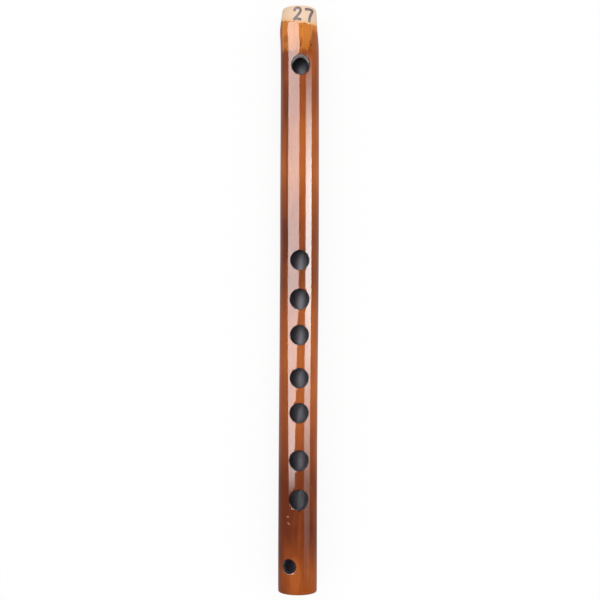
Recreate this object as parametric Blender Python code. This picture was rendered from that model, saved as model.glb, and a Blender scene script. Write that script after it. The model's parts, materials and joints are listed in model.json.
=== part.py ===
"""Side-blown bamboo flute: a cane tube with its playing holes, and the cork that stops its head end.

Metres, +Z up. The flute lies along Y with its head towards +Y and its playing holes on top. The origin
is under the middle of the flute, level with what it rests on.
"""

from itertools import pairwise
from math import cos, pi, radians, sin, sqrt

import bmesh
import bpy
from mathutils import Matrix

for leftover in list(bpy.data.objects):
    bpy.data.objects.remove(leftover)

# Places along the flute: the first three are measured from the head end, the rest each from the last
HEAD_TO_NODE = 0.0125
HEAD_TO_PLAIN_CANE = 0.0260
HEAD_TO_BLOW_HOLE = 0.0353
BLOW_HOLE_TO_FIRST = 0.1160
FINGER_HOLE_STEPS = (0.0232, 0.0212, 0.0256, 0.0207, 0.0282, 0.0233)
LAST_TO_FOOT_HOLE = 0.0397
FOOT_HOLE_TO_END = 0.0168

# Cane: radii to the middle of a flat, and how far the head leans to the left of the bore's axis
CANE_RADIUS = 0.0116
NODE_RADIUS = 0.0113
HEAD_RADIUS = 0.0102
NODE_LEAN = 0.00078
HEAD_LEAN = 0.00045
WALL = 0.0030
RIM_ROUND = 0.0004

# The flute lies on a shallow flat along its underside
REST_FLAT_WIDTH = 0.0054

# Holes: width across the flute at the outer surface, and length along it as a multiple of the width
FINGER_HOLE_WIDTHS = (0.0112, 0.0116, 0.0111, 0.0111, 0.0112, 0.0115, 0.0115)
FINGER_HOLE_STRETCH = 1.055
BLOW_HOLE_WIDTH = 0.0111
BLOW_HOLE_LENGTH = 0.0121
BLOW_HOLE_SIDE_SLANT = 0.0003
BLOW_HOLE_HEAD_SLANT = 0.0015
FOOT_HOLE_WIDTH = 0.0088
FOOT_HOLE_TURN = radians(-29.3)

# Cork: its face stands this far from the middle of the blow hole
CORK_LENGTH = 0.0120
CORK_TO_BLOW_HOLE = 0.0172
CORK_CLEARANCE = 0.0003
CORK_EDGE = 0.0006

# Facets: round sides are flats, one of them on top and one underneath
CANE_SIDES = 32
HOLE_SIDES = 24
RIM_STEPS = 2
SHOULDER_STEPS = 5
CUTTER_REACH = 0.0030
SHARP_EDGE = radians(40)

# Worked out from the sizes above
FINGER_SPAN = sum(FINGER_HOLE_STEPS)
LENGTH = (
    HEAD_TO_BLOW_HOLE + BLOW_HOLE_TO_FIRST + FINGER_SPAN + LAST_TO_FOOT_HOLE + FOOT_HOLE_TO_END
)
BORE_RADIUS = CANE_RADIUS - WALL
AXIS_X = (max(NODE_RADIUS + NODE_LEAN, CANE_RADIUS) - CANE_RADIUS) / 2
AXIS_Z = sqrt(CANE_RADIUS**2 - (REST_FLAT_WIDTH / 2) ** 2)


def from_head(distance):
    """The Y of a place this far from the head end."""
    return LENGTH / 2 - distance


def eased(start, end, share):
    """A value that leaves start and reaches end with no corner at either."""
    return start + (end - start) * share * share * (3 - 2 * share)


def ring_along_y(y, flat_radius, sides, lean=0.0):
    """The matrix of a unit circle stood across the flute, with a flat at its lowest side."""
    corner_radius = flat_radius / cos(pi / sides)
    return (
        Matrix.Translation((AXIS_X - lean, y, AXIS_Z))
        @ Matrix.Rotation(pi / sides, 4, "Y")
        @ Matrix.Rotation(-pi / 2, 4, "X")
        @ Matrix.Scale(corner_radius, 4)
    )


def linked_object(name, bm):
    """An object in the scene that holds this mesh."""
    mesh = bpy.data.meshes.new(name)
    bm.to_mesh(mesh)
    bm.free()
    obj = bpy.data.objects.new(name, mesh)
    bpy.context.scene.collection.objects.link(obj)
    return obj


def loft(name, rings, sides):
    """A closed object through rings of the same number of sides, each given as a unit circle's matrix."""
    bm = bmesh.new()
    loops = [
        bmesh.ops.create_circle(bm, segments=sides, radius=1, cap_ends=False, matrix=ring)["verts"]
        for ring in rings
    ]
    for near, far in pairwise(loops):
        for corner in range(sides):
            after = (corner + 1) % sides
            bm.faces.new((near[corner], near[after], far[after], far[corner]))
    bm.faces.new(loops[0])
    bm.faces.new(loops[-1])
    bmesh.ops.recalc_face_normals(bm, faces=bm.faces)
    return linked_object(name, bm)


def finish(name, color, roughness):
    """A Principled material for a piece."""
    material = bpy.data.materials.new(name)
    material.use_nodes = True
    shader = material.node_tree.nodes["Principled BSDF"]
    shader.inputs["Base Color"].default_value = (*color, 1)
    shader.inputs["Roughness"].default_value = roughness
    shader.inputs["Metallic"].default_value = 0
    return material


def rim(at_end, inward, radius, lean):
    """The rings of a rounded outer rim, from the end face to the full radius."""
    rings = []
    for step in range(RIM_STEPS + 1):
        angle = pi / 2 * step / RIM_STEPS
        y = at_end + inward * RIM_ROUND * (1 - cos(angle))
        drop = RIM_ROUND * (1 - sin(angle))
        rings.append(ring_along_y(y, radius - drop, CANE_SIDES, lean))
    return rings


def cane_blank():
    """The cane before it is bored: bare tapered head, node, shoulder, then the plain length to the foot."""
    rings = rim(from_head(0), -1, HEAD_RADIUS, HEAD_LEAN)
    rings.append(ring_along_y(from_head(HEAD_TO_NODE), NODE_RADIUS, CANE_SIDES, NODE_LEAN))
    for step in range(1, SHOULDER_STEPS + 1):
        share = step / SHOULDER_STEPS
        place = HEAD_TO_NODE + (HEAD_TO_PLAIN_CANE - HEAD_TO_NODE) * share
        radius = eased(NODE_RADIUS, CANE_RADIUS, share)
        lean = eased(NODE_LEAN, 0, share)
        rings.append(ring_along_y(from_head(place), radius, CANE_SIDES, lean))
    rings += reversed(rim(from_head(LENGTH), 1, CANE_RADIUS, 0))
    return loft("bamboo_tube", rings, CANE_SIDES)


def bore_cutter():
    """The bore, which runs through the whole cane: the node's wall is cleared for the cork."""
    ends = (from_head(-CUTTER_REACH), from_head(LENGTH + CUTTER_REACH))
    rings = [ring_along_y(y, BORE_RADIUS, CANE_SIDES) for y in ends]
    return loft("bore_cutter", rings, CANE_SIDES)


def rest_flat_cutter():
    """A slab under the flute, which takes the flat off the lowest side."""
    bm = bmesh.new()
    size = (2 * CANE_RADIUS, LENGTH + 2 * CUTTER_REACH, CUTTER_REACH)
    place = Matrix.Translation((AXIS_X, 0, -CUTTER_REACH / 2)) @ Matrix.Diagonal((*size, 1))
    bmesh.ops.create_cube(bm, size=1, matrix=place)
    return linked_object("rest_flat_cutter", bm)


def hole_cutter(name, place, width, length, side_slant=0.0, head_slant=0.0, turn=0.0):
    """A hole burnt through the top wall. Its slants are how much further in its walls stand at the bore
    than at the outer surface, on both sides and on the head side. turn swings it round the bore's axis.
    """
    swing = Matrix.Translation((AXIS_X, 0, AXIS_Z)) @ Matrix.Rotation(turn, 4, "Y")
    rings = []
    for height in (BORE_RADIUS - CUTTER_REACH, CANE_RADIUS + CUTTER_REACH):
        depth_share = (CANE_RADIUS - height) / WALL
        narrowed = width - 2 * side_slant * depth_share
        shortened = length - head_slant * depth_share
        y = from_head(place) - head_slant * depth_share / 2
        rings.append(
            swing
            @ Matrix.Translation((0, y, height))
            @ Matrix.Diagonal((narrowed / 2, shortened / 2, 1, 1))
        )
    return loft(name, rings, HOLE_SIDES)


def hole_cutters():
    """Every hole in the wall, from the head to the foot."""
    cutters = [
        hole_cutter(
            "blow_hole_cutter",
            HEAD_TO_BLOW_HOLE,
            BLOW_HOLE_WIDTH,
            BLOW_HOLE_LENGTH,
            BLOW_HOLE_SIDE_SLANT,
            BLOW_HOLE_HEAD_SLANT,
        )
    ]
    place = HEAD_TO_BLOW_HOLE + BLOW_HOLE_TO_FIRST
    for number, width in enumerate(FINGER_HOLE_WIDTHS):
        length = width * FINGER_HOLE_STRETCH
        cutters.append(hole_cutter(f"finger_hole_{number + 1}_cutter", place, width, length))
        place += (*FINGER_HOLE_STEPS, LAST_TO_FOOT_HOLE)[number]
    cutters.append(
        hole_cutter(
            "foot_hole_cutter", place, FOOT_HOLE_WIDTH, FOOT_HOLE_WIDTH, turn=FOOT_HOLE_TURN
        )
    )
    return cutters


def cut_away(obj, cutters):
    """Subtracts all the cutters from the object in one go, and leaves them in the scene as wire guides."""
    guides = bpy.data.collections.new(f"{obj.name}_cutters")
    bpy.context.scene.collection.children.link(guides)
    for cutter in cutters:
        cutter.hide_render = True
        cutter.display_type = "WIRE"
        bpy.context.scene.collection.objects.unlink(cutter)
        guides.objects.link(cutter)
    cut = obj.modifiers.new("holes", "BOOLEAN")
    cut.operation = "DIFFERENCE"
    cut.solver = "EXACT"
    cut.operand_type = "COLLECTION"
    cut.collection = guides
    bpy.context.view_layer.objects.active = obj
    bpy.ops.object.modifier_apply(modifier=cut.name)


def shade_round(obj):
    """Smooth shading, broken at the real edges."""
    obj.data.shade_smooth()
    obj.data.set_sharp_from_angle(angle=SHARP_EDGE)


def bamboo_tube():
    """The cane, bored from end to end and pierced by its holes."""
    cane = cane_blank()
    cut_away(cane, [rest_flat_cutter(), bore_cutter(), *hole_cutters()])
    shade_round(cane)
    cane.data.materials.append(finish("lacquered_cane", (0.36, 0.10, 0.025), 0.22))
    return cane


def cork_stopper():
    """The tuning cork, a plain plug with broken edges. Its origin is in its middle, on the bore's axis."""
    face = from_head(HEAD_TO_BLOW_HOLE - CORK_TO_BLOW_HOLE)
    back = face + CORK_LENGTH
    full = BORE_RADIUS - CORK_CLEARANCE
    rings = [
        ring_along_y(back, full - CORK_EDGE, CANE_SIDES),
        ring_along_y(back - CORK_EDGE, full, CANE_SIDES),
        ring_along_y(face + CORK_EDGE, full, CANE_SIDES),
        ring_along_y(face, full - CORK_EDGE, CANE_SIDES),
    ]
    cork = loft("cork_stopper", rings, CANE_SIDES)
    middle = Matrix.Translation((AXIS_X, (face + back) / 2, AXIS_Z))
    cork.data.transform(middle.inverted())
    cork.matrix_world = middle
    shade_round(cork)
    cork.data.materials.append(finish("cork", (0.46, 0.27, 0.13), 0.85))
    return cork


bamboo_tube()
cork_stopper()
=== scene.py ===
import json
from math import cos, pi, radians, sin, sqrt

import bpy
from mathutils import Matrix, Vector

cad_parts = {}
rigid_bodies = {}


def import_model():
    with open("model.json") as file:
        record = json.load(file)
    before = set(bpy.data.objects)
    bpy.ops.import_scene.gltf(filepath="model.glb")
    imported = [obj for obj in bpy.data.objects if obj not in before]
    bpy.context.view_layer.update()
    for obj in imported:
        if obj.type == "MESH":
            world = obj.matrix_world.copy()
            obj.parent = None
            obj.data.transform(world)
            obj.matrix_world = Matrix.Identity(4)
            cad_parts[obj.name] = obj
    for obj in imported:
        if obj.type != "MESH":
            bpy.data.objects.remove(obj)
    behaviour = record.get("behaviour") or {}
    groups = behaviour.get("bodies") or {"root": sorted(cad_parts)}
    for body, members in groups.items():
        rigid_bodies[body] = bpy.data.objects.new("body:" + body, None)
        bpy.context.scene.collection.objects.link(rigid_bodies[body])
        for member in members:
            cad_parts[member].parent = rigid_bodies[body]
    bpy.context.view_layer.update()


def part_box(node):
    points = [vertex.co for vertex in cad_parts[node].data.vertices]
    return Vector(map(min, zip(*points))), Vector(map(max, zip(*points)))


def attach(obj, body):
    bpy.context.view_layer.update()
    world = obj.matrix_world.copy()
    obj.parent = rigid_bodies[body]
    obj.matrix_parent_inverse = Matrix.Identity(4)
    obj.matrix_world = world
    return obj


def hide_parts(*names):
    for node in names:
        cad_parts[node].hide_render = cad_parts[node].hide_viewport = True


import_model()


# Bamboo tube: one length of cane, bored from end to end, stained and gloss lacquered. Its head tapers
# past a natural node and is left bare. The blow hole, the finger holes and the foot hole are burnt
# through the wall, and the bore is varnished black.

HEAD_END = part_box("bamboo_tube")[1].y
FOOT_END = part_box("bamboo_tube")[0].y
CANE_LENGTH = HEAD_END - FOOT_END
CANE_RADIUS = 0.0116
BORE_RADIUS = 0.0086
AXIS_X = 0.00024
REST_FLAT_WIDTH = 0.0054
AXIS_Z = sqrt(CANE_RADIUS**2 - (REST_FLAT_WIDTH / 2) ** 2)
CANE_SIDES = 160

# Distance from the head end, radius, and how far the cane's middle stands to the left of the bore's.
# The cane swells at its node, and like any cane it isn't quite straight or quite even.
CANE_STATIONS = (
    (0.0000, 0.00965, 0.00050),
    (0.0001, 0.00985, 0.00050),
    (0.0003, 0.01005, 0.00049),
    (0.0007, 0.01020, 0.00048),
    (0.0027, 0.01043, 0.00047),
    (0.0057, 0.01073, 0.00062),
    (0.0087, 0.01103, 0.00072),
    (0.0106, 0.01118, 0.00078),
    (0.0124, 0.01131, 0.00078),
    (0.0148, 0.01144, 0.00062),
    (0.0178, 0.01146, 0.00040),
    (0.0208, 0.01151, 0.00021),
    (0.0238, 0.01154, 0.00010),
    (0.0298, 0.01153, 0.00000),
    (0.0420, 0.01153, -0.00007),
    (0.0840, 0.01165, -0.00017),
    (0.1140, 0.01171, -0.00022),
    (0.1440, 0.01167, -0.00030),
    (0.1750, 0.01168, -0.00023),
    (0.2050, 0.01161, -0.00011),
    (0.2350, 0.01159, 0.00003),
    (0.2650, 0.01161, 0.00010),
    (0.2950, 0.01164, 0.00010),
    (0.3250, 0.01171, 0.00006),
    (0.3490, 0.01169, 0.00000),
    (0.3496, 0.01162, 0.00000),
    (0.3499, 0.01147, 0.00000),
    (0.3500, 0.01130, 0.00000),
)
LONGEST_STEP = 0.0022


def from_head(distance):
    """The Y of a place this far from the head end."""
    return HEAD_END - distance


def operate_on(obj):
    """Makes this the only selected object, and the active one."""
    bpy.ops.object.select_all(action="DESELECT")
    obj.select_set(True)
    bpy.context.view_layer.objects.active = obj


def apply_place(obj):
    """Puts an object's place into its mesh, so that the object sits at the origin."""
    operate_on(obj)
    bpy.ops.object.transform_apply(location=True, rotation=True, scale=True)


def new_cylinder(name, radius, depth, sides):
    """A cylinder along Y, with its middle at the origin and its place in its mesh."""
    bpy.ops.object.select_all(action="DESELECT")
    bpy.ops.mesh.primitive_cylinder_add(
        vertices=sides, radius=radius, depth=depth, rotation=(-pi / 2, 0, 0)
    )
    obj = bpy.context.object
    obj.name = name
    obj.data.name = name
    apply_place(obj)
    return obj


def select_faces(obj, wanted):
    """In edit mode, selects the faces for which wanted(face) holds, and nothing else."""
    bpy.ops.mesh.select_mode(type="FACE")
    bpy.ops.mesh.select_all(action="DESELECT")
    bpy.ops.object.mode_set(mode="OBJECT")
    for face in obj.data.polygons:
        face.select = wanted(face)
    bpy.ops.object.mode_set(mode="EDIT")


# The cane grows from its head end: the end face is extruded from station to station. Then the head is
# sawn off square, and the flat that the flute lies on is planed.
START_THICKNESS = 0.001
SAW_TOLERANCE = 1e-7
tube = new_cylinder("cane", CANE_STATIONS[0][1], START_THICKNESS, CANE_SIDES)
tube.location = (AXIS_X - CANE_STATIONS[0][2], HEAD_END + START_THICKNESS / 2, AXIS_Z)
apply_place(tube)
bpy.ops.object.mode_set(mode="EDIT")
select_faces(tube, lambda face: face.normal.y < -0.9)
for near, far in zip(CANE_STATIONS, CANE_STATIONS[1:]):
    steps = max(1, round((far[0] - near[0]) / LONGEST_STEP))
    stride, growth, lean = ((end - start) / steps for start, end in zip(near, far))
    for step in range(steps):
        radius = near[1] + growth * step
        bpy.ops.mesh.extrude_region_move(TRANSFORM_OT_translate={"value": (-lean, -stride, 0)})
        wider = (radius + growth) / radius
        middle = (AXIS_X - near[2] - lean * (step + 1), 0, AXIS_Z)
        bpy.ops.transform.resize(value=(wider, 1, wider), center_override=middle)
for saw_place, towards_waste in (((0, HEAD_END, 0), (0, 1, 0)), ((0, 0, 0), (0, 0, -1))):
    bpy.ops.mesh.select_all(action="SELECT")
    bpy.ops.mesh.bisect(
        plane_co=saw_place,
        plane_no=towards_waste,
        use_fill=True,
        clear_outer=True,
        threshold=SAW_TOLERANCE,
    )
bpy.ops.object.mode_set(mode="OBJECT")

# Holes: distance from the head end, width, length, side slant, head slant, turn round the bore
BLOW_HOLE = (0.0353, 0.0111, 0.0121, 0.0003, 0.0015, 0)
FINGER_HOLES = (
    (0.1513, 0.0112),
    (0.1745, 0.0116),
    (0.1957, 0.0111),
    (0.2213, 0.0111),
    (0.2420, 0.0112),
    (0.2702, 0.0115),
    (0.2935, 0.0115),
)
FINGER_HOLE_STRETCH = 1.055
FOOT_HOLE = (0.3332, 0.0088, 0.0088, 0, 0, radians(-29.3))
HOLE_SIDES = 72
BORE_SIDES = 128
CUTTER_REACH = 0.003
CUTTER_TOP = CANE_RADIUS + CUTTER_REACH
CUTTER_FLOOR = BORE_RADIUS - CUTTER_REACH

holes = [BLOW_HOLE]
holes += [(place, width, width * FINGER_HOLE_STRETCH, 0, 0, 0) for place, width in FINGER_HOLES]
holes.append(FOOT_HOLE)

cutters = bpy.data.collections.new("hole_cutters")
bpy.context.scene.collection.children.link(cutters)


def to_cutters(obj):
    """Moves an object from the scene to the collection that the tube is cut with."""
    for home in list(obj.users_collection):
        home.objects.unlink(obj)
    cutters.objects.link(obj)


def hole_cutter(place, width, length, side_slant, head_slant, turn):
    """A pin as wide as the hole at the outer surface, and narrower at the bore by its slants."""
    bpy.ops.object.select_all(action="DESELECT")
    depth = CUTTER_TOP - CUTTER_FLOOR
    bpy.ops.mesh.primitive_cylinder_add(vertices=HOLE_SIDES, radius=0.5, depth=depth)
    pin = bpy.context.object
    bpy.ops.object.mode_set(mode="EDIT")
    for height, end in ((CUTTER_TOP, depth / 2), (CUTTER_FLOOR, -depth / 2)):
        share = (CANE_RADIUS - height) / (CANE_RADIUS - BORE_RADIUS)
        select_faces(pin, lambda face: face.normal.z * end > 0 and abs(face.normal.z) > 0.9)
        bpy.ops.transform.resize(
            value=(width - 2 * side_slant * share, length - head_slant * share, 1),
            center_override=(0, 0, end),
        )
        bpy.ops.transform.translate(value=(0, -head_slant * share / 2, 0))
    bpy.ops.object.mode_set(mode="OBJECT")
    swing = Matrix.Translation((AXIS_X, 0, AXIS_Z)) @ Matrix.Rotation(turn, 4, "Y")
    middle = (CUTTER_TOP + CUTTER_FLOOR) / 2
    pin.matrix_world = swing @ Matrix.Translation((0, from_head(place), middle))
    apply_place(pin)
    to_cutters(pin)


for hole in holes:
    hole_cutter(*hole)
bore = new_cylinder("bore_cutter", BORE_RADIUS, CANE_LENGTH + 2 * CUTTER_REACH, BORE_SIDES)
bore.location = (AXIS_X, 0, AXIS_Z)
apply_place(bore)
to_cutters(bore)

operate_on(tube)
bored = tube.modifiers.new("bored", "BOOLEAN")
bored.operation = "DIFFERENCE"
bored.solver = "EXACT"
bored.operand_type = "COLLECTION"
bored.collection = cutters
bpy.ops.object.modifier_apply(modifier="bored")
for cutter in list(cutters.objects):
    bpy.data.objects.remove(cutter)
bpy.data.collections.remove(cutters)


def hole_reach(point, hole):
    """How far a point lies from a hole's middle, as a share of the hole's half width."""
    place, width, length, _, _, turn = hole
    across = point.x - AXIS_X
    up = point.z - AXIS_Z
    side = across * cos(turn) - up * sin(turn)
    height = across * sin(turn) + up * cos(turn)
    if height < 0:
        return 9
    return sqrt((side / (width / 2)) ** 2 + ((point.y - from_head(place)) / (length / 2)) ** 2)


# How near a face lies to the skin, an end or a hole to be part of it. The last two are in half widths
# of a hole.
SKIN_MARGIN = 0.0006
FACE_MARGIN = 0.0001
WALL_REACH = 1.02
RIM_REACH = 1.12

RIM_ROUND = 0.00025
WELD_DISTANCE = 0.000002
SMOOTH_ANGLE = radians(38)


def on_outer_skin(face):
    """True for a face of the cane's outside, and false for a wall of a hole, the bore or an end."""
    out = Vector((face.center.x - AXIS_X, 0, face.center.z - AXIS_Z))
    return out.length > BORE_RADIUS + SKIN_MARGIN and face.normal.dot(out.normalized()) > 0.8


def blackened(face):
    """True for the bore's skin and the walls of the holes, which are burnt and varnished black."""
    out = Vector((face.center.x - AXIS_X, 0, face.center.z - AXIS_Z))
    to_end = min(abs(face.center.y - end) for end in (HEAD_END, FOOT_END))
    if abs(face.normal.y) > 0.9 and to_end < FACE_MARGIN:
        return False
    if out.length < BORE_RADIUS + FACE_MARGIN:
        return True
    at_hole = any(hole_reach(face.center, hole) < WALL_REACH for hole in holes)
    return at_hole and not on_outer_skin(face)


# The rims are rounded where the burning iron and the finish softened them
bpy.ops.object.mode_set(mode="EDIT")
bpy.ops.mesh.select_mode(type="EDGE")
bpy.ops.mesh.select_all(action="DESELECT")
bpy.ops.object.mode_set(mode="OBJECT")
skin = [on_outer_skin(face) for face in tube.data.polygons]
faces_at = {}
for face in tube.data.polygons:
    for key in face.edge_keys:
        faces_at.setdefault(key, []).append(face.index)
for edge in tube.data.edges:
    pair = faces_at.get(edge.key, [])
    points = [tube.data.vertices[v].co for v in edge.vertices]
    at_hole = any(all(hole_reach(p, hole) < RIM_REACH for p in points) for hole in holes)
    edge.select = len(pair) == 2 and at_hole and skin[pair[0]] != skin[pair[1]]
bpy.ops.object.mode_set(mode="EDIT")
bpy.ops.mesh.bevel(offset=RIM_ROUND, segments=3, profile=0.5, affect="EDGES", clamp_overlap=True)
bpy.ops.mesh.select_all(action="SELECT")
bpy.ops.mesh.remove_doubles(threshold=WELD_DISTANCE)
bpy.ops.object.mode_set(mode="OBJECT")
operate_on(tube)
bpy.ops.object.shade_smooth_by_angle(angle=SMOOTH_ANGLE)


class Socket:
    """A shader socket that takes part in sums: each operator adds the Math node that works it out."""

    def __init__(self, nodes, out):
        self.nodes = nodes
        self.out = out

    def math(self, operation, first, second):
        return self.nodes.node(
            "ShaderNodeMath", {"operation": operation}, {0: first, 1: second}
        )

    def __add__(self, other):
        return self.math("ADD", self, other)

    __radd__ = __add__

    def __mul__(self, other):
        return self.math("MULTIPLY", self, other)

    __rmul__ = __mul__

    def __sub__(self, other):
        return self.math("SUBTRACT", self, other)

    def __rsub__(self, other):
        return self.math("SUBTRACT", other, self)

    def __truediv__(self, other):
        return self.math("DIVIDE", self, other)

    def __pow__(self, other):
        return self.math("POWER", self, other)

    def __or__(self, other):
        return self.math("MAXIMUM", self, other)


class Nodes:
    """The node tree of a material or a world. Each method adds nodes and gives back their socket."""

    def __init__(self, tree):
        self.tree = tree

    def wire(self, target, inputs):
        """Sets a node's sockets, each to a value or to a link from another node."""
        for name, value in inputs.items():
            if isinstance(value, Socket):
                self.tree.links.new(value.out, target.inputs[name])
            else:
                target.inputs[name].default_value = value

    def node(self, kind, settings, inputs, out=0):
        """Adds a node: its settings first, a ramp's stops among them, then its sockets."""
        made = self.tree.nodes.new(kind)
        for name, value in settings.items():
            if name == "stops":
                ramp = made.color_ramp.elements
                while len(ramp) < len(value):
                    ramp.new(1)
                for element, (position, color) in zip(ramp, value):
                    element.position = position
                    element.color = color if isinstance(color, tuple) else (color, color, color, 1)
            else:
                setattr(made, name, value)
        self.wire(made, inputs)
        return Socket(self, made.outputs[out])

    def place(self):
        """The place on the piece, in metres."""
        return self.node("ShaderNodeTexCoord", {}, {}, "Object")

    def part(self, vector, axis):
        """One coordinate of a place."""
        return self.node("ShaderNodeSeparateXYZ", {}, {0: vector}, axis)

    def stretched(self, vector, along):
        """The place with its Y drawn out, for marks that run along the grain."""
        return self.node("ShaderNodeMapping", {}, {"Vector": vector, "Scale": (1, along, 1)})

    def noise(self, vector, scale, detail=3, roughness=0.5):
        """Noise from 0 to 1, about 0.5."""
        return self.node(
            "ShaderNodeTexNoise",
            {},
            {"Vector": vector, "Scale": scale, "Detail": detail, "Roughness": roughness},
        )

    def step_up(self, value, low, high):
        """0 below low, 1 above high, and a smooth rise between."""
        return self.node(
            "ShaderNodeMapRange",
            {"interpolation_type": "SMOOTHSTEP"},
            {"Value": value, "From Min": low, "From Max": high},
        )

    def mix(self, share, first, second):
        """The first colour, with this share of it replaced by the second."""
        return self.node(
            "ShaderNodeMix", {"data_type": "RGBA"}, {0: share, 6: first, 7: second}, 2
        )

    def bump(self, height_mm):
        """The normal of a surface raised by this many millimetres."""
        return self.node("ShaderNodeBump", {}, {"Distance": 0.001, "Height": height_mm})


def new_finish(name):
    """A material, its nodes and its Principled shader."""
    material = bpy.data.materials.new(name)
    material.use_nodes = True
    nodes = Nodes(material.node_tree)
    return material, nodes, material.node_tree.nodes["Principled BSDF"]


def srgb(red, green, blue):
    """A linear colour from 0 to 255 screen values."""
    shares = [value / 255 for value in (red, green, blue)]
    linear = [v / 12.92 if v <= 0.04045 else ((v + 0.055) / 1.055) ** 2.4 for v in shares]
    return (*linear, 1)


STAIN_DARK = srgb(105, 40, 4)
STAIN_MID = srgb(156, 74, 19)
STAIN_LIGHT = srgb(190, 102, 36)
NODE_ORANGE = srgb(214, 128, 46)
NODE_BROWN = srgb(158, 78, 24)
BARE_CANE = srgb(242, 211, 184)
BARE_ORANGE = srgb(244, 186, 120)
EDGE_BROWN = srgb(130, 74, 40)
SCAR_BROWN = srgb(74, 38, 18)
BURNT_BLACK = srgb(24, 20, 20)
RED_BROWN = srgb(98, 34, 6)
# Colour of pale patches painted as highlight near the foot
GLINT_PALE = srgb(196, 132, 100)
FOOT_ORANGE = srgb(178, 92, 36)

# How light the stain is along the cane: share of its length, and lightness
STAIN_ALONG = (
    (0.00, 0.45),
    (0.14, 0.42),
    (0.20, 0.62),
    (0.28, 0.84),
    (0.37, 0.34),
    (0.47, 0.32),
    (0.53, 0.64),
    (0.60, 0.82),
    (0.66, 0.70),
    (0.74, 0.50),
    (0.81, 0.12),
    (0.89, 0.05),
    (0.96, 0.46),
)

# Marks of growth and of use, and pale patches near the foot that are painted highlight: distance from
# the head end, place round the cane from its top line and towards the right, half length, half width,
# colour and strength
MARKS = (
    (0.0127, 0.0002, 0.0011, 0.0003, SCAR_BROWN, 0.7),
    (0.0195, -0.0098, 0.0028, 0.0026, NODE_BROWN, 0.6),
    (0.0216, 0.0003, 0.0026, 0.0008, NODE_BROWN, 0.7),
    (0.0238, -0.0002, 0.0013, 0.0004, SCAR_BROWN, 0.8),
    (0.0218, 0.0058, 0.0010, 0.0005, SCAR_BROWN, 0.6),
    (0.0233, 0.0067, 0.0007, 0.0009, SCAR_BROWN, 0.8),
    (0.0570, -0.0098, 0.0160, 0.0030, RED_BROWN, 0.6),
    (0.1400, -0.0100, 0.0180, 0.0032, RED_BROWN, 0.8),
    (0.0980, -0.0088, 0.0520, 0.0006, RED_BROWN, 0.6),
    (0.1590, 0.0009, 0.0010, 0.0004, SCAR_BROWN, 0.8),
    (0.1812, -0.0016, 0.0010, 0.0004, SCAR_BROWN, 0.8),
    (0.2999, 0.0004, 0.0010, 0.0006, BURNT_BLACK, 1.0),
    # Three pale patches: painted highlight where the stripe of light breaks up in the lacquer's orange
    # peel
    (0.3037, -0.0067, 0.0008, 0.0010, GLINT_PALE, 0.6),
    (0.3072, -0.0066, 0.0006, 0.0008, GLINT_PALE, 0.4),
    (0.3080, -0.0058, 0.0005, 0.0009, GLINT_PALE, 0.5),
    (0.3380, -0.0020, 0.0120, 0.0040, FOOT_ORANGE, 0.6),
)

lacquered_cane, cane, shader = new_finish("lacquered_cane")
place = cane.place()
across = cane.part(place, "X") - AXIS_X
up = cane.part(place, "Z") - AXIS_Z
distance = HEAD_END - cane.part(place, "Y")
angle = cane.node("ShaderNodeMath", {"operation": "ARCTAN2"}, {0: across, 1: up})
around = angle * CANE_RADIUS

fibres = cane.noise(cane.stretched(place, 0.03), 2200, 3, 0.6)
streaks = cane.noise(cane.stretched(place, 0.04), 620, 3, 0.6)
blotches = cane.noise(cane.stretched(place, 0.4), 110, 3, 0.5)
along = cane.node("ShaderNodeValToRGB", {"stops": STAIN_ALONG}, {0: distance / CANE_LENGTH})
# Towards the cane's left side the stain is darkened: painted shade of that side
painted_left_shade = 1 - cane.step_up(around, -0.0130, -0.0040)
tone = along - painted_left_shade * 0.22
tone = tone + (blotches - 0.5) * 0.6 + (streaks - 0.5) * 0.5 + (fibres - 0.5) * 0.3
stain = cane.node(
    "ShaderNodeValToRGB",
    {"stops": ((0.0, STAIN_DARK), (0.5, STAIN_MID), (1.0, STAIN_LIGHT))},
    {0: tone},
)

# At the node the stain took as a clear orange. The cane's own brown shows at its right side, and the
# brown band at its left side is painted shade of that side
wander = cane.noise(cane.stretched(place, 0.35), 330, 4, 0.6) - 0.5
ragged = distance + wander * 0.008 + (streaks - 0.5) * 0.006
node_zone = 1 - cane.step_up(ragged, 0.0248, 0.0276)
right_brown = cane.step_up(around + wander * 0.003 + (distance - 0.0145) * 0.26, 0.0070, 0.0084)
right_brown = right_brown * cane.step_up(distance, 0.0120, 0.0160)
# Painted shade: the node's left side turned brown
node_left_shade = 1 - cane.step_up(around + wander * 0.003, -0.0145, -0.0120)
browner = (streaks - 0.4) * 0.9 + cane.step_up(distance, 0.0150, 0.0270) * 0.4
node_color = cane.mix(browner, NODE_ORANGE, NODE_BROWN)
node_color = cane.mix((right_brown | node_left_shade) * 0.9, node_color, NODE_BROWN)
skin_color = cane.mix(node_zone, stain, node_color)

for mark_distance, mark_around, half_length, half_width, mark_color, strength in MARKS:
    off_along = (distance - mark_distance) / half_length
    off_around = (around - mark_around) / half_width
    spread = off_along * off_along + off_around * off_around + wander * 1.2
    mark = (1 - cane.step_up(spread, 0.25, 1.1)) * strength
    skin_color = cane.mix(mark, skin_color, mark_color)

# Specks of dust under the lacquer
SPECK_SCALE = 420
specks = cane.node("ShaderNodeTexVoronoi", {}, {"Vector": place, "Scale": SPECK_SCALE})
speck = (1 - cane.step_up(specks, 0.05, 0.12)) * cane.step_up(blotches, 0.48, 0.56)
skin_color = cane.mix(speck * 0.35, skin_color, BARE_ORANGE)

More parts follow.
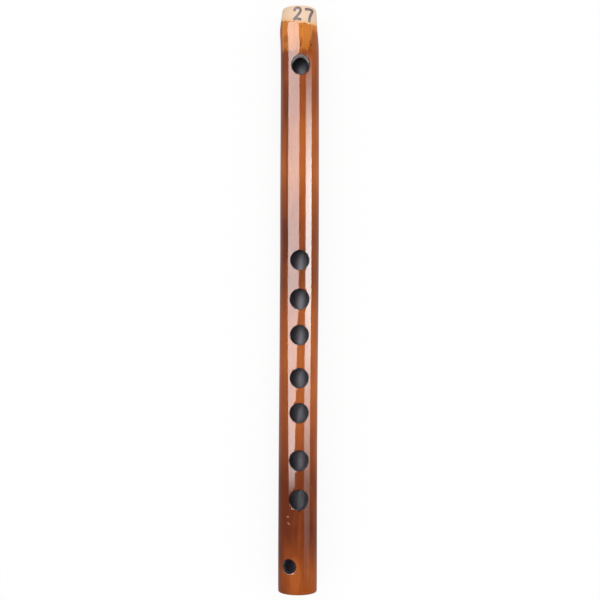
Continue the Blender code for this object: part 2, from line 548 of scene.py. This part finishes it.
# The bare head: the lacquer ends in a slanted, uneven line, and has tinted the wood before it
LACQUER_START = 0.0089
bare_edge = distance - across * 0.13 - up * 0.17 + wander * 0.0016
bare = 1 - cane.step_up(bare_edge, LACQUER_START - 0.0002, LACQUER_START + 0.0002)
warm = cane.step_up(bare_edge, LACQUER_START - 0.0032, LACQUER_START - 0.0004)
bare_color = cane.mix(warm * 0.75, BARE_CANE, BARE_ORANGE)
bare_color = cane.mix((fibres - 0.4) * 0.5, bare_color, BARE_ORANGE)
edge_line = cane.step_up(bare_edge, LACQUER_START - 0.0005, LACQUER_START - 0.0002)
bare_color = cane.mix(edge_line * cane.step_up(streaks, 0.42, 0.55), bare_color, EDGE_BROWN)
skin_color = cane.mix(bare, skin_color, bare_color)

# The sawn foot end is stained like the rest, and darker where the cut fibres drank it
foot_face = cane.step_up(distance, CANE_LENGTH - 0.0003, CANE_LENGTH - 0.0001)
skin_color = cane.mix(foot_face * 0.8, skin_color, SCAR_BROWN)

# Scorched rims
scorched = None
for hole_place, width, length, _, _, turn in holes:
    side = (across * cos(turn) - up * sin(turn)) / (width / 2)
    lengthwise = (distance - hole_place) / (length / 2)
    reach = (side * side + lengthwise * lengthwise) ** 0.5
    rim = 1 - cane.step_up(reach, 1.005, 1.055)
    scorched = rim if scorched is None else scorched | rim
scorched = scorched * cane.step_up(up, 0, 0.001)
skin_color = cane.mix(scorched, skin_color, BURNT_BLACK)

# The lacquer is thinner and more uneven towards the foot
dull = bare | foot_face
lacquer = (1 - dull) * (1 - scorched * 0.8) * (1 - cane.step_up(distance, 0.262, 0.284) * 0.3)
orange_peel = cane.noise(place, 950, 2, 0.5)
peel_zone = cane.step_up(distance, 0.235, 0.275)
ridges = cane.noise(cane.stretched(place, 0.06), 850, 2, 0.5)
height = ridges * 0.012 + orange_peel * (0.004 + peel_zone * 0.016) + fibres * bare * 0.05
cane.wire(
    shader,
    {
        "Base Color": skin_color,
        "Roughness": 0.42 + dull * 0.25 + (fibres - 0.5) * 0.15,
        "Coat Weight": lacquer * (0.50 - streaks * 0.16),
        "Coat Roughness": 0.05,
        "Coat IOR": 1.5,
        "Specular IOR Level": 0.0,
        "Normal": cane.bump(height),
    },
)

# Black varnish over burnt wood, inside the bore and the holes. The blow hole's head side is scraped
# back to brown wood, where the breath is split.
VARNISH_BLACK = srgb(20, 18, 20)
DUST_GREY = srgb(58, 54, 58)
SCRAPED_BROWN = srgb(88, 66, 50)

black_varnish, varnish, shader = new_finish("black_varnish")
place = varnish.place()
across = varnish.part(place, "X") - AXIS_X
up = varnish.part(place, "Z") - AXIS_Z
distance = HEAD_END - varnish.part(place, "Y")
from_axis = (across * across + up * up) ** 0.5
dust = varnish.noise(varnish.stretched(place, 0.3), 500, 3, 0.6)
bore_color = varnish.mix(dust * 0.5, VARNISH_BLACK, DUST_GREY)
in_wall = varnish.step_up(from_axis, BORE_RADIUS + 0.0002, BORE_RADIUS + 0.0006)
head_side = 1 - varnish.step_up(distance, BLOW_HOLE[0] - 0.0030, BLOW_HOLE[0])
scraped = in_wall * head_side * varnish.step_up(dust, 0.25, 0.45)
varnish.wire(
    shader,
    {
        "Base Color": varnish.mix(scraped, bore_color, SCRAPED_BROWN),
        "Roughness": 0.44 + dust * 0.10 + scraped * 0.25,
        "Specular IOR Level": 1.0,
        "Specular Tint": (1, 0.92, 1, 1),
        "Normal": varnish.bump(dust * 0.02),
    },
)

tube.data.materials.clear()
tube.data.materials.append(lacquered_cane)
tube.data.materials.append(black_varnish)
for face in tube.data.polygons:
    face.material_index = int(blackened(face))
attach(tube, "flute")
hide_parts("bamboo_tube")


# Number on the bare head: written by hand with a broad marker, whose ink soaked a little into the
# wood. It is drawn as flat strokes, laid down on the cane.

INK_WIDTH = 0.0015
INK_LIFT = 0.00003
INK_THICKNESS = 0.00002
INK_START_HEIGHT = 2 * AXIS_Z + 0.004

# Points of each stroke in millimetres: to the right of the cane's top line, and from the head end
INK_STROKES = (
    ((-4.0, 3.6), (-3.3, 2.0), (-1.6, 1.5), (-0.3, 2.5), (-0.7, 4.4), (-2.4, 6.6), (-4.3, 8.7)),
    ((-4.4, 8.6), (-2.6, 8.2), (0.2, 8.7)),
    ((2.4, 2.3), (4.6, 2.0), (7.4, 2.2)),
    ((7.3, 2.1), (6.3, 4.4), (5.3, 7.2), (4.9, 9.8)),
)

bpy.ops.object.select_all(action="DESELECT")
bpy.ops.curve.primitive_bezier_curve_add()
nib = bpy.context.object
nib.data.splines.clear()
nib_line = nib.data.splines.new("POLY")
nib_line.points.add(4)
for point, share in zip(nib_line.points, (-0.5, -0.25, 0, 0.25, 0.5)):
    point.co = (share * INK_WIDTH, 0, 0, 1)

strokes = []
for path in INK_STROKES:
    bpy.ops.object.select_all(action="DESELECT")
    bpy.ops.curve.primitive_bezier_curve_add()
    stroke = bpy.context.object
    stroke.data.splines.clear()
    line = stroke.data.splines.new("BEZIER")
    line.bezier_points.add(len(path) - 1)
    for point, (right, down) in zip(line.bezier_points, path):
        point.co = (AXIS_X + right / 1000, from_head(down / 1000), INK_START_HEIGHT)
        point.handle_left_type = "AUTO"
        point.handle_right_type = "AUTO"
    line.resolution_u = 8
    stroke.data.dimensions = "3D"
    stroke.data.twist_mode = "Z_UP"
    stroke.data.bevel_mode = "OBJECT"
    stroke.data.bevel_object = nib
    strokes.append(stroke)
for stroke in strokes:
    operate_on(stroke)
    bpy.ops.object.convert(target="MESH")
bpy.data.objects.remove(nib)
bpy.ops.object.select_all(action="DESELECT")
for stroke in strokes:
    stroke.select_set(True)
bpy.context.view_layer.objects.active = strokes[0]
bpy.ops.object.join()
ink = bpy.context.object
ink.name = "ink_number"
ink.data.name = "ink_number"
apply_place(ink)
laid = ink.modifiers.new("laid", "SHRINKWRAP")
laid.target = tube
laid.wrap_method = "PROJECT"
laid.use_project_z = True
laid.use_negative_direction = True
laid.use_positive_direction = False
laid.offset = INK_LIFT
bpy.ops.object.modifier_apply(modifier="laid")
bpy.ops.object.mode_set(mode="EDIT")
bpy.ops.mesh.select_all(action="SELECT")
bpy.ops.mesh.normals_make_consistent(inside=False)
bpy.ops.object.mode_set(mode="OBJECT")
soaked = ink.modifiers.new("soaked", "SOLIDIFY")
soaked.thickness = INK_THICKNESS
soaked.offset = -1
bpy.ops.object.modifier_apply(modifier="soaked")

INK_VIOLET = srgb(70, 50, 60)
INK_PALE = srgb(100, 78, 86)

marker_ink, nodes, shader = new_finish("marker_ink")
place = nodes.place()
soak = nodes.noise(nodes.stretched(place, 0.2), 1500, 3, 0.6)
patches = nodes.noise(place, 500, 2, 0.5)
nodes.wire(
    shader,
    {
        "Base Color": nodes.mix(soak * 0.5 + patches * 0.3, INK_VIOLET, INK_PALE),
        "Roughness": 0.45 + soak * 0.2,
        "Specular IOR Level": 0.3,
        "Normal": nodes.bump(soak * 0.01),
    },
)
ink.data.materials.clear()
ink.data.materials.append(marker_ink)
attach(ink, "flute")


# Cork: a plug cut from natural cork, pushed into the bore on the head side of the blow hole. It is
# held by its own squeeze, and it slides when a rod pushes it, which tunes the octaves.

CORK_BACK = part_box("cork_stopper")[1].y
CORK_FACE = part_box("cork_stopper")[0].y
CORK_RADIUS = (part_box("cork_stopper")[1].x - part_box("cork_stopper")[0].x) / 2
CORK_SIDES = 96
CORK_EDGE = 0.0006
CORK_RIM_WIDTH = 0.0022
CORK_DISH_SLOPE = 0.0030
CORK_DISH_DEPTH = 0.0001

stopper = new_cylinder("cork", CORK_RADIUS, CORK_BACK - CORK_FACE, CORK_SIDES)
stopper.location = (AXIS_X, (CORK_BACK + CORK_FACE) / 2, AXIS_Z)
apply_place(stopper)
bpy.ops.object.mode_set(mode="EDIT")
select_faces(stopper, lambda face: abs(face.normal.y) > 0.9)
bpy.ops.mesh.inset(thickness=CORK_RIM_WIDTH, depth=0)
bpy.ops.mesh.inset(thickness=CORK_DISH_SLOPE, depth=-CORK_DISH_DEPTH)
bpy.ops.object.mode_set(mode="OBJECT")
edged = stopper.modifiers.new("edged", "BEVEL")
edged.width = CORK_EDGE
edged.segments = 3
edged.limit_method = "ANGLE"
edged.angle_limit = radians(40)
bpy.ops.object.modifier_apply(modifier="edged")
bpy.ops.object.shade_smooth_by_angle(angle=SMOOTH_ANGLE)

CORK_TAN = srgb(196, 152, 104)
CORK_LIGHT = srgb(220, 182, 136)
CORK_PORE = srgb(92, 56, 32)

cork, nodes, shader = new_finish("cork")
place = nodes.place()
grain = nodes.noise(place, 900, 4, 0.6)
cells = nodes.node("ShaderNodeTexVoronoi", {}, {"Vector": place, "Scale": 1100})
pores = nodes.noise(nodes.stretched(place, 2.2), 520, 3, 0.7)
pore = 1 - nodes.step_up(pores, 0.33, 0.40)
cork_color = nodes.mix(grain, CORK_TAN, CORK_LIGHT)
cork_color = nodes.mix(cells * 0.25, cork_color, CORK_TAN)
nodes.wire(
    shader,
    {
        "Base Color": nodes.mix(pore, cork_color, CORK_PORE),
        "Roughness": 0.78 + grain * 0.12,
        "Normal": nodes.bump(grain * 0.1 - pore * 0.15),
    },
)

stopper.data.materials.clear()
stopper.data.materials.append(cork)
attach(stopper, "stopper")
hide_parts("cork_stopper")


# Camera: over the middle of the flute and looking straight down, rolled a little round the flute's
# axis, with its frame shifted up to take in the head.

SCALE_AT_AXIS = 0.000603
PHOTO_SIZE = 600
PHOTO_MIDDLE = PHOTO_SIZE / 2
LENS_POINT_ROW = 339
AXIS_COLUMN = 298.6
FOCAL_PIXELS = 1077
SENSOR = 36.0
CAMERA_TURN = radians(0.258)
CAMERA_ROLL = radians(-2.8)
CAMERA_Y = -0.0231

camera_data = bpy.data.cameras.new("camera")
camera_data.sensor_width = SENSOR
camera_data.lens = SENSOR * FOCAL_PIXELS / PHOTO_SIZE
camera_data.shift_y = (LENS_POINT_ROW - PHOTO_MIDDLE) / PHOTO_SIZE
camera = bpy.data.objects.new("camera", camera_data)
bpy.context.scene.collection.objects.link(camera)
camera_side = (PHOTO_MIDDLE - AXIS_COLUMN) * SCALE_AT_AXIS
camera_height = FOCAL_PIXELS * SCALE_AT_AXIS
camera.matrix_world = (
    Matrix.Translation((AXIS_X, 0, AXIS_Z))
    @ Matrix.Rotation(CAMERA_ROLL, 4, "Y")
    @ Matrix.Translation((camera_side, CAMERA_Y, camera_height))
    @ Matrix.Rotation(CAMERA_TURN, 4, "Z")
)
bpy.context.scene.camera = camera


# Floor: a plain pale sheet. What is seen of it is white, with the flute's soft shadow on it. To the
# rest of the light it is a grey that keeps the flute's underside darker than its top.

FLOOR_SIZE = 8
FLOOR_DROP = 0.0002
FLOOR_GLOW = 0.88
FLOOR_WHITE = (0.96, 0.96, 0.96, 1)
FLOOR_GREY = (0.60, 0.60, 0.60, 1)

bpy.ops.object.select_all(action="DESELECT")
bpy.ops.mesh.primitive_plane_add(size=FLOOR_SIZE, location=(0, 0, -FLOOR_DROP))
floor = bpy.context.object
floor.name = "floor"


def bare_tree(owner):
    """The nodes of a material or a world, cleared of all but its output."""
    owner.use_nodes = True
    for spare in list(owner.node_tree.nodes):
        if not spare.bl_idname.startswith("ShaderNodeOutput"):
            owner.node_tree.nodes.remove(spare)
    return Nodes(owner.node_tree)


def seen_rays(nodes):
    """1 for what the camera sees, straight, mirrored or through glass."""
    camera_ray = nodes.node("ShaderNodeLightPath", {}, {}, "Is Camera Ray")
    glossy_ray = nodes.node("ShaderNodeLightPath", {}, {}, "Is Glossy Ray")
    sent_ray = nodes.node("ShaderNodeLightPath", {}, {}, "Is Transmission Ray")
    return camera_ray | glossy_ray | sent_ray


paper = bpy.data.materials.new("pale_floor")
nodes = bare_tree(paper)
glow = nodes.node("ShaderNodeEmission", {}, {"Color": (1, 1, 1, 1)})
white_sheet = nodes.node("ShaderNodeBsdfDiffuse", {}, {"Color": FLOOR_WHITE})
grey_sheet = nodes.node("ShaderNodeBsdfDiffuse", {}, {"Color": FLOOR_GREY})
shown = nodes.node("ShaderNodeMixShader", {}, {0: FLOOR_GLOW, 1: white_sheet, 2: glow})
sheet = nodes.node("ShaderNodeMixShader", {}, {0: seen_rays(nodes), 1: grey_sheet, 2: shown})
nodes.wire(paper.node_tree.nodes["Material Output"], {"Surface": sheet})
floor.data.materials.append(paper)


# Lights: two large soft boxes that the lacquer mirrors as a broad stripe on its left and a narrow one
# on its right, and one wide lamp overhead that carries no mirror image. The sky lights the flute as a
# plain grey, and is white where it is seen.

LIGHT_REACH = 1.0


def soft_box(name, rows, radiance, tint, along, left_fade):
    """A curved sheet of light round the flute's axis, seen in the lacquer only. Each row gives a Y and
    the sheet's two edges as angles from straight up, negative to the left. along holds the stops of its
    brightness from its first row to its last, and left_fade is the share of its width that fades in.
    """
    columns = 24
    bpy.ops.object.select_all(action="DESELECT")
    bpy.ops.mesh.primitive_grid_add(
        x_subdivisions=columns, y_subdivisions=len(rows) - 1, size=1, calc_uvs=True
    )
    sheet = bpy.context.object
    sheet.name = name
    for vertex in sheet.data.vertices:
        y, low, high = rows[round((vertex.co.y + 0.5) * (len(rows) - 1))]
        turn = radians(low + (high - low) * (vertex.co.x + 0.5))
        vertex.co = (AXIS_X + LIGHT_REACH * sin(turn), y, AXIS_Z + LIGHT_REACH * cos(turn))
    lit = bpy.data.materials.new(name)
    nodes = bare_tree(lit)
    spot = nodes.node("ShaderNodeTexCoord", {}, {}, "UV")
    rise = nodes.step_up(nodes.part(spot, "X"), 0, left_fade)
    run = nodes.node("ShaderNodeValToRGB", {"stops": along}, {0: nodes.part(spot, "Y")})
    light = nodes.node("ShaderNodeEmission", {}, {"Color": tint, "Strength": rise * run * radiance})
    nodes.wire(lit.node_tree.nodes["Material Output"], {"Surface": light})
    sheet.data.materials.append(lit)
    for ray in ("camera", "diffuse", "transmission", "volume_scatter", "shadow"):
        setattr(sheet, f"visible_{ray}", False)


def plain_light(name, low, high, y_low, y_high, radiance):
    """A flat light that the lacquer doesn't mirror. Its two long edges are seen from the flute at these
    angles from straight up, negative to the left.
    """
    edges = [Vector((sin(radians(edge)), 0, cos(radians(edge)))) * LIGHT_REACH for edge in (low, high)]
    middle = (edges[0] + edges[1]) / 2
    width = (edges[1] - edges[0]).length
    light = bpy.data.lights.new(name, "AREA")
    light.shape = "RECTANGLE"
    light.size = width
    light.size_y = y_high - y_low
    light.energy = radiance * pi * light.size * light.size_y
    lamp = bpy.data.objects.new(name, light)
    bpy.context.scene.collection.objects.link(lamp)
    aim = Matrix.Rotation(radians((low + high) / 2), 4, "Y")
    center = (AXIS_X + middle.x, (y_low + y_high) / 2, AXIS_Z + middle.z)
    lamp.matrix_world = Matrix.Translation(center) @ aim
    lamp.visible_camera = False
    lamp.visible_glossy = False


LEFT_ROWS = (
    (-0.26, -57, -21),
    (-0.17, -63, -20),
    (-0.05, -71, -14),
    (0.04, -75, -6),
    (0.75, -75, -4),
)
LEFT_ALONG = ((0.0, 0.0), (0.08, 0.95), (0.25, 1.0), (0.75, 0.92), (1.0, 0.7))
RIGHT_ROWS = ((-0.45, 29, 72), (0.45, 29, 72))
RIGHT_ALONG = (
    (0.03, 0.0),
    (0.23, 0.18),
    (0.38, 0.50),
    (0.51, 0.86),
    (0.62, 1.0),
    (0.73, 0.98),
    (0.85, 0.50),
    (0.97, 0.0),
)
soft_box("left_box", LEFT_ROWS, 25, (0.90, 0.97, 1, 1), LEFT_ALONG, 0.03)
soft_box("right_box", RIGHT_ROWS, 42, (0.83, 0.97, 1, 1), RIGHT_ALONG, 0.22)
plain_light("overhead", -70, 70, -0.8, 0.9, 0.62)

SKY_GREY = (0.50, 0.50, 0.50, 1)
world = bpy.data.worlds.new("studio")
bpy.context.scene.world = world
nodes = bare_tree(world)
soft_sky = nodes.node("ShaderNodeBackground", {}, {"Color": SKY_GREY})
white_sky = nodes.node("ShaderNodeBackground", {}, {"Color": (1, 1, 1, 1)})
sky = nodes.node("ShaderNodeMixShader", {}, {0: seen_rays(nodes), 1: soft_sky, 2: white_sky})
nodes.wire(world.node_tree.nodes["World Output"], {"Surface": sky})

bpy.context.scene.view_settings.view_transform = "Standard"
